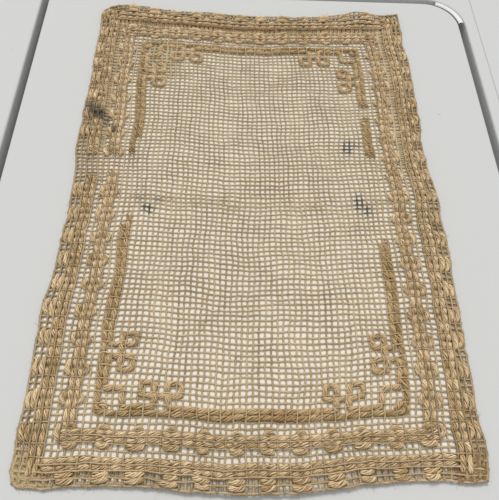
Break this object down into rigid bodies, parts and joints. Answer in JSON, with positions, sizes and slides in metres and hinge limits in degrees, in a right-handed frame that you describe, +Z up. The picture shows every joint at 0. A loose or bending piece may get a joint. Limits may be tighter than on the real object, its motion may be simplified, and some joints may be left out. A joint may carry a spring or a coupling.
{
  "type": "placemat",
  "caption": "Rectangular open-net placemat with a folded hem, two knobbed borders in thick light yarn and a darker frame with frets and curls in its corners.",
  "frame": {"origin": "on the table surface under the middle of the mat's outline", "axes": "+X to the right across the mat, +Y along it towards the back edge, +Z up from the table"},
  "size_m": [0.305, 0.4526, 0.0095],
  "materials": {
    "net_thread": "matte",
    "light_yarn": "matte",
    "dark_yarn": "matte"
  },
  "bodies": {
    "root": {"net_ground": "net_thread", "outer_band_front": "light_yarn", "outer_band_back": "light_yarn", "outer_band_left_front": "light_yarn", "outer_band_left_back": "light_yarn", "outer_band_right": "light_yarn", "middle_band_front": "light_yarn", "middle_band_back": "light_yarn", "middle_band_left_front": "light_yarn", "middle_band_left_back": "light_yarn", "middle_band_right": "light_yarn", "bar_front": "dark_yarn", "bar_back": "dark_yarn", "bar_left_front": "dark_yarn", "bar_left_back": "dark_yarn", "bar_right_front": "dark_yarn", "bar_right_middle": "dark_yarn", "bar_right_back": "dark_yarn", "fret_front_left": "dark_yarn", "fret_front_right": "dark_yarn", "fret_back_left": "dark_yarn", "fret_back_right": "dark_yarn", "curls_cross_front_left": "dark_yarn", "curls_cross_front_right": "dark_yarn", "curls_cross_back_left": "dark_yarn", "curls_cross_back_right": "dark_yarn", "curls_side_front_left": "dark_yarn", "curls_side_front_right": "dark_yarn", "curls_side_back_left": "dark_yarn", "curls_side_back_right": "dark_yarn"}
  },
  "joints": []
}
